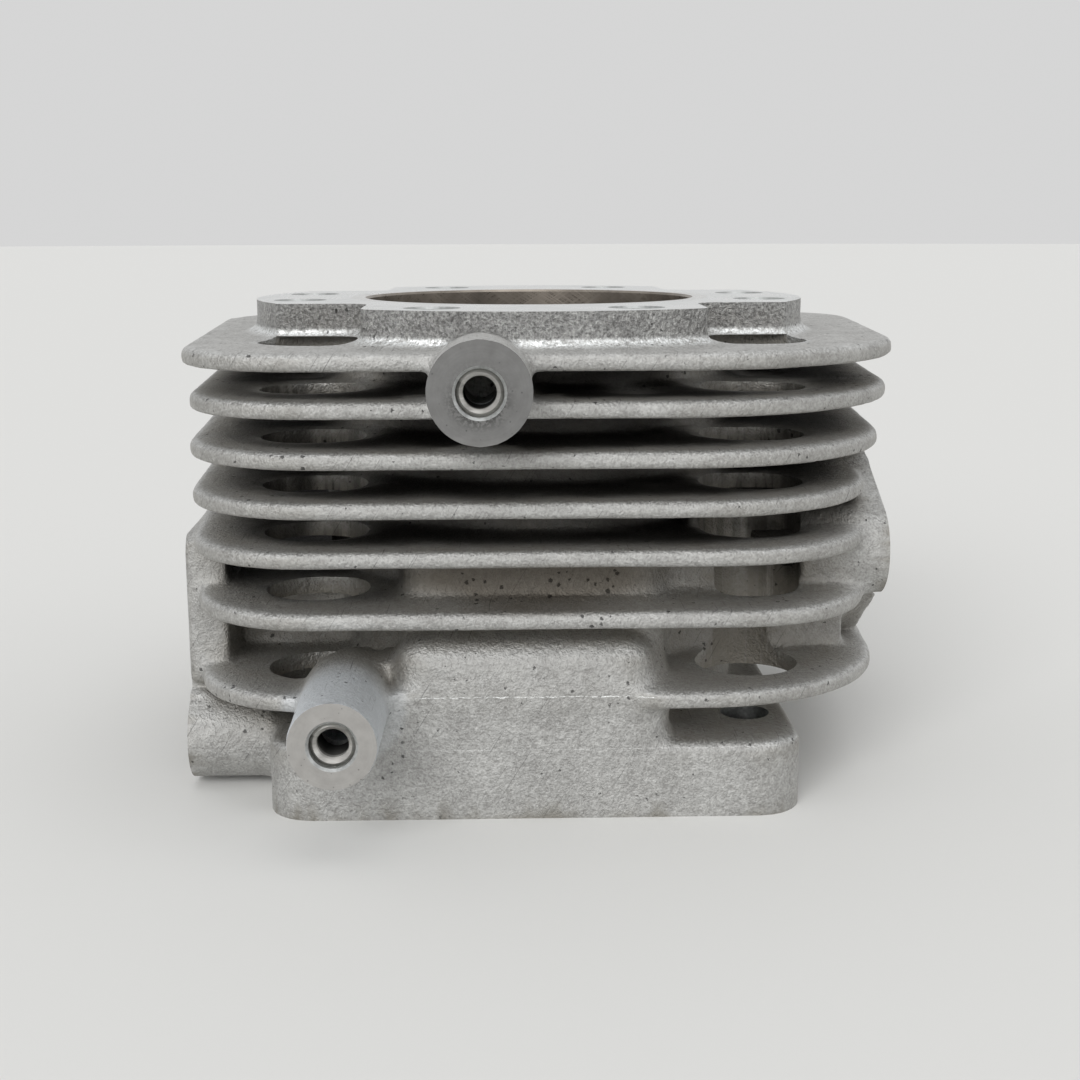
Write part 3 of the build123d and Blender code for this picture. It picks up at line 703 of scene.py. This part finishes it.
def makeRoughCasting():
    piece = copyOfNode(nodes["cylinder_casting"], "cast_cylinder")
    stock = casting["stock"]
    pushFace(piece, 2, deckTop, stock)
    pushFace(piece, 2, 0, -stock)
    pushFace(piece, 1, coverFace, -stock)
    pushFace(piece, 0, exhaustFace, stock, casting["exhaustPad"])
    pushFace(piece, 0, intakeFace, -stock, casting["intakePad"])
    joinInto(piece, fillerPieces())
    fine, coarse = casting["voxel"]
    voxel = fine
    applyModifier(piece, "REMESH", "oneSkin", mode="VOXEL", voxel_size=voxel * mm, adaptivity=0)
    shapeSkin(piece)
    rounds = casting["filletRounds"] * (fine / voxel) ** 2
    fillHollows(piece, round(rounds), casting["softenRounds"])
    unevenness(piece, "swell", *casting["swell"])
    unevenness(piece, "ripple", *casting["ripple"])
    keep = casting["triangles"] / (2 * len(piece.data.polygons))
    applyModifier(piece, "DECIMATE", "thin", ratio=keep)
    splitLongEdges(piece, casting["longestEdge"])
    return piece


def machineCasting(piece):
    past, chamfer = casting["cutPast"], casting["chamfer"]
    wide, deep = farOff / 2, 12
    (exhaustLow, exhaustHigh), (intakeLow, intakeHigh) = casting["exhaustCut"], casting["intakeCut"]
    cutAway(piece, [
        slab((-wide, -wide, deckTop), (wide, wide, deckTop + deep)),
        slab((-wide, -wide, -deep), (wide, wide, 0)),
        slab((-wide / 2, coverFace - deep, past), (wide / 2, coverFace, deckTop - past)),
        slab((exhaustFace, *exhaustLow), (exhaustFace + deep, *exhaustHigh)),
        slab((intakeFace - deep, *intakeLow), (intakeFace, *intakeHigh)),
    ], "faces")
    up, (boreTop, boreFoot) = (0, 0, 1), casting["boreEnds"]
    drills = [turnedRod(up, (0, 0, 0), [(boreTop, linerRadius), (deckTop + past, linerRadius)], 192),
              turnedRod(up, (0, 0, 0), [(-past, linerRadius), (boreFoot, linerRadius)], 192)]
    for name, (radius, depth) in casting["threadedHoles"].items():
        axis, mouths = screwMouths(name)
        share, further = casting["headRunOut" if axis.z > 0.5 else "runOut"]
        steps = [(-depth - further, radius * share), (-depth + 0.01, radius * share), (-depth, radius),
                 (-chamfer, radius), (0, radius + chamfer), (past, radius + chamfer + past)]
        drills += [turnedRod(axis, mouth, steps, 48) for mouth in mouths]
    pastFlange, pastFin = casting["breakOut"]
    for screw in flangeScrews:
        steps = [(-past, flangeHole), (casting["flangeTop"] + pastFlange, flangeHole)]
        drills.append(turnedRod(up, screw, steps, 48))
        low = casting["finTops"][-1] - casting["finThickness"] - pastFin
        steps = [(low, casting["passage"]), (casting["passageTop"], casting["passage"])]
        drills.append(turnedRod(up, screw, steps, 96))
    cutAway(piece, drills, "holes")


def neighbourMean(mesh, values, rounds=1):  # each vertex takes the mean of itself and its neighbours
    ends = np.empty(len(mesh.edges) * 2, dtype=np.int64)
    mesh.edges.foreach_get("vertices", ends)
    a, b = ends.reshape(-1, 2).T
    for _ in range(rounds):
        total, count = values.copy(), np.ones(len(values))
        for here, there in ((a, b), (b, a)):
            total += np.bincount(here, values[there], len(values))
            count += np.bincount(here, minlength=len(values))
        values = total / count
    return values


# rays that measure how openly each spot of the casting faces the light, for its painted shade
lightRays = {
    "rays": 24,                 # directions tried from each spot
    "lift": 0.15,               # they start this far above the skin
    "length": 80.0,
    "upward": 0.18,             # share of the reach that only a spot facing up has, so spots facing down get more painted shade
    "passages": (0.2, 0.4),     # margin round a passage, and its least reach above the second fin
    "coverBosses": (9.5, -40.0, 0.64),      # radius, front of this y, and their least reach
    "blur": 3,
}
rimLimits = {
    "topFin": 0.6,              # so far above the top fin nothing counts as a rim
    "sharpness": (0.3, 0.16),   # cut off at, and full at
    "upper": (0.35, 0.65),      # normal's rise where the painted highlight on the edges' upper halves starts and is full
    "under": (0.7, 0.2),        # and where the painted shade on their lower halves starts and is full
}


def markLightReach(piece):  # how openly each spot faces the light, from 0 deep inside to 1; the casting's painted shade follows it
    mesh = piece.data
    tree = BVHTree.FromPolygons([v.co for v in mesh.vertices], [p.vertices for p in mesh.polygons])
    rays = lightRays["rays"]
    spread = []
    for k in range(rays):
        turn, rise = k * math.pi * (3 - math.sqrt(5)), math.sqrt((k + 0.5) / rays)
        spread.append(Vector((rise * math.cos(turn), rise * math.sin(turn), math.sqrt(1 - rise * rise))))
    reach = np.empty(len(mesh.vertices))
    for vertex in mesh.vertices:
        outward = Vector((0, 0, 1)).rotation_difference(vertex.normal)
        start = vertex.co + vertex.normal * lightRays["lift"] * mm
        clear = sum(tree.ray_cast(start, outward @ ray, lightRays["length"] * mm)[0] is None for ray in spread)
        reach[vertex.index] = clear / rays * (1 - lightRays["upward"] * (1 - vertex.normal.z))
    places = vertexPlaces(mesh) / mm
    margin, least = lightRays["passages"]
    for screw in flangeScrews:      # the passages' upper ends are bored through, so they get little painted shade
        bored = np.hypot(places[:, 0] - screw.x, places[:, 1] - screw.y) < casting["passage"] + margin
        bored &= places[:, 2] > casting["finTops"][1]
        reach[bored] = np.maximum(reach[bored], least)
    radius, front, least = lightRays["coverBosses"]
    for name in coverScrews:        # and the cover bosses stand free, so they get little painted shade too
        boss = screwMouths(name)[1][0]
        free = np.hypot(places[:, 0] - boss.x, places[:, 2] - boss.z) < radius
        free &= places[:, 1] < front
        reach[free] = np.maximum(reach[free], least)
    reach = neighbourMean(mesh, reach, lightRays["blur"])
    mesh.attributes.new("lightReach", "FLOAT", "POINT").data.foreach_set("value", reach)


def markRims(piece):  # outer edges: upper halves brighter with wear and a painted highlight, lower halves with painted shade
    mesh = piece.data
    places, normals = vertexPlaces(mesh), np.empty(len(mesh.vertices) * 3)
    mesh.vertices.foreach_get("normal", normals)
    mean = np.stack([neighbourMean(mesh, places[:, k].copy()) for k in range(3)], axis=1)
    sharpness = -((mean - places) * normals.reshape(-1, 3)).sum(axis=1) / mm
    sharpness[places[:, 2] > (casting["finTops"][0] + rimLimits["topFin"]) * mm] = 0
    most, full = rimLimits["sharpness"]
    rims = np.clip(neighbourMean(mesh, np.clip(sharpness, 0, most)) / full, 0, 1)
    upward = normals.reshape(-1, 3)[:, 2]
    for name, (start, end) in {"rims": rimLimits["upper"], "underRims": rimLimits["under"]}.items():
        half = rims * np.clip((upward - start) / (end - start), 0, 1)
        mesh.attributes.new(name, "FLOAT", "POINT").data.foreach_set("value", half)


def paintCasting(piece):  # cast skin everywhere but on the machined faces and in the drilled holes
    giveMaterials(piece, castMaterial, deckMaterial, spotMaterial, drilledMaterial)
    centres, normals = facePlaces(piece.data)
    index, near = np.zeros(len(centres), dtype=np.int32), casting["onFace"]
    flat = (np.abs(centres[:, 2] - deckTop) < near) | (np.abs(centres[:, 2]) < near)
    index[flat & (np.abs(normals[:, 2]) > 0.99)] = 1
    spot = np.abs(centres[:, 1] - coverFace) < near
    for face in (exhaustFace, intakeFace):
        spot |= np.abs(centres[:, 0] - face) < near
    index[spot & (np.abs(normals[:, 2]) < 0.01)] = 2
    for name, (radius, depth) in casting["threadedHoles"].items():
        axis, mouths = screwMouths(name)
        for mouth in mouths:
            offset = centres - np.array(mouth)
            along = offset @ np.array(axis)
            away = np.linalg.norm(offset - along[:, None] * np.array(axis), axis=1)
            index[(away < radius + casting["chamfer"] - near) & (along < -0.01) & (along > -depth - 0.1)] = 3
    for screw in flangeScrews:
        away = np.hypot(centres[:, 0] - screw.x, centres[:, 1] - screw.y)
        index[(centres[:, 2] < casting["flangeTop"]) & (away < flangeHole + 0.1)] = 3
    piece.data.polygons.foreach_set("material_index", index)
    makeActive(piece)
    bpy.ops.object.shade_smooth_by_angle(angle=math.radians(38))


castPiece = makeRoughCasting()
print("rough casting", len(castPiece.data.polygons))
machineCasting(castPiece)
markLightReach(castPiece)
markRims(castPiece)
print("blast reach and rims marked")
paintCasting(castPiece)
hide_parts("cylinder_casting")
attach(castPiece, "root")
print("casting machined", len(castPiece.data.polygons))


# liner: a turned iron tube with its port windows milled through
liner = {
    "chamfer": 0.35,            # at both ends of the bore
    "windowCorner": 2.0,
    "exhaustWindow": ((10, -13, 30), (40, 13, 43)),
    "intakeWindow": ((-40, -12, 12), (-10, 12, 25)),
    "transferWindow": ((4.5, 12, 25), (15.5, 40, 34)),     # and its mirror images in the other quarters
    "sides": 256,
}


def makeLiner():
    bore = mounts["cylinder_bore"]["dims"]["r_mm"]
    chamfer, sides = liner["chamfer"], liner["sides"]
    piece = turnedRod((0, 0, 1), (0, 0, 0), [(0, linerRadius), (deckTop, linerRadius)], sides)
    piece.name = "iron_liner"
    mouth = bore + chamfer + 1
    hone = [(-1, mouth), (chamfer, bore), (deckTop - chamfer, bore), (deckTop + 1, mouth)]
    cutAway(piece, [turnedRod((0, 0, 1), (0, 0, 0), hone, sides)], "bore")
    windows = [slab(*liner["exhaustWindow"]), slab(*liner["intakeWindow"])]
    (nearX, nearY, low), (farX, farY, high) = liner["transferWindow"]
    for x, y in ((-1, -1), (-1, 1), (1, -1), (1, 1)):
        windows.append(slab(*sortedCorners((x * nearX, y * nearY, low), (x * farX, y * farY, high))))
    for window in windows:
        applyModifier(window, "BEVEL", "corners", width=liner["windowCorner"] * mm, segments=5)
    cutAway(piece, windows, "windows")
    makeActive(piece)
    bpy.ops.object.shade_smooth_by_angle(angle=math.radians(30))
    giveMaterials(piece, ironMaterial, ironTopMaterial)
    normals = facePlaces(piece.data)[1]
    piece.data.polygons.foreach_set("material_index", (np.abs(normals[:, 2]) > 0.9).astype(np.int32))
    return piece


linerPiece = makeLiner()
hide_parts("cylinder_liner")
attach(linerPiece, "root")
print("liner turned", len(linerPiece.data.polygons))


# thread inserts: a coil of diamond-section wire in each screw hole
inserts = {
    "setback": 0.45,            # the first turn sits this far under the face
    "wire": 0.48,               # half the wire's height, as a share of the pitch
    "groups": {                 # mounts, outer and inner radius, length, pitch of the thread
        "head_thread_inserts": (headScrews, 3.55, 2.5, 6.0, 1.0),
        "exhaust_thread_inserts": (portScrews[:1], 3.55, 2.5, 9.0, 1.0),
        "intake_thread_inserts": (portScrews[1:], 3.0, 2.1, 7.5, 0.8),
        "cover_thread_inserts": (coverScrews, 3.0, 2.1, 7.5, 0.8),
    },
    "stepsPerTurn": 40,
}


def makeCoil(outer, inner, length, pitch):  # its top at the origin, going down
    selectNothing()
    half, middle = pitch * inserts["wire"], (outer + inner) / 2
    bpy.ops.mesh.primitive_circle_add(vertices=4, radius=half * mm, fill_type="NGON",
                                      rotation=(math.pi / 2, 0, 0))
    coil = placeInMesh(bpy.context.object)
    coil.scale = ((outer - inner) / 2 / half, 1, 1)
    coil.location = (middle * mm, 0, (half - length) * mm)
    placeInMesh(coil)
    turns = (length - 2 * half) / pitch
    steps = round(turns * inserts["stepsPerTurn"])
    applyModifier(coil, "SCREW", "coil", angle=turns * 2 * math.pi, screw_offset=(length - 2 * half) * mm,
                  steps=steps, render_steps=steps, use_merge_vertices=False)
    return coil


def makeInserts(name, groups, outer, inner, length, pitch):
    coil = makeCoil(outer, inner, length, pitch)
    copies = []
    for group in groups:
        axis, mouths = screwMouths(group)
        for mouth in mouths:
            copy = bpy.data.objects.new(name, coil.data.copy())
            bpy.context.collection.objects.link(copy)
            copy.rotation_mode = "QUATERNION"
            copy.rotation_quaternion = Vector((0, 0, 1)).rotation_difference(axis)
            copy.location = (mouth - axis * inserts["setback"]) * mm
            copies.append(placeInMesh(copy))
    bpy.data.objects.remove(coil)
    piece = joinInto(copies[0], copies[1:])
    piece.name = "wire_" + name.replace("_thread_inserts", "_inserts")
    bpy.ops.object.mode_set(mode="EDIT")
    bpy.ops.mesh.select_all(action="SELECT")
    bpy.ops.mesh.remove_doubles(threshold=0.001 * mm)
    bpy.ops.mesh.fill_holes(sides=4)
    bpy.ops.mesh.normals_make_consistent(inside=False)
    bpy.ops.object.mode_set(mode="OBJECT")
    bpy.ops.object.shade_smooth_by_angle(angle=math.radians(30))
    giveMaterials(piece, steelMaterial)
    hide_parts(name)
    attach(piece, "root")
    return piece


for name, sizes in inserts["groups"].items():
    makeInserts(name, *sizes)
print("inserts wound")


# studio: a pale floor under an even pale sky, with one wide soft lamp and two weaker ones, all far off
studio = {
    "floorRadius": 6000.0,
    "floorColour": "d8d8d6",
    "sky": 0.67,
    "lamps": [                  # direction that it shines from, width in degrees, strength
        ((-250, -650, 385), 34, 1.7),
        ((100, -100, 765), 40, 0.4),
        ((700, -250, 265), 28, 0.16),
    ],
}


def makeFloor():
    selectNothing()
    bpy.ops.mesh.primitive_circle_add(vertices=128, radius=studio["floorRadius"] * mm, fill_type="NGON")
    floor = bpy.context.object
    floor.name = "paleFloor"
    giveMaterials(floor, newMaterial("paintedStudioFloor", Roughness=0.8,
                                     Base_Color=linear(studio["floorColour"]))[0])


def makeLamps():
    for direction, width, strength in studio["lamps"]:
        bpy.ops.object.light_add(type="SUN", location=Vector(direction) * mm)
        lamp = bpy.context.object
        lamp.rotation_euler = Vector(direction).to_track_quat("Z", "Y").to_euler()
        lamp.data.angle = math.radians(width)
        lamp.data.energy = strength


def makeSky():
    sky = bpy.data.worlds.new("evenPaleSky")
    sky.use_nodes = True
    sky.node_tree.nodes["Background"].inputs["Color"].default_value = linear("ffffff")
    sky.node_tree.nodes["Background"].inputs["Strength"].default_value = studio["sky"]
    bpy.context.scene.world = sky


makeFloor()
makeLamps()
makeSky()
print("studio lit")
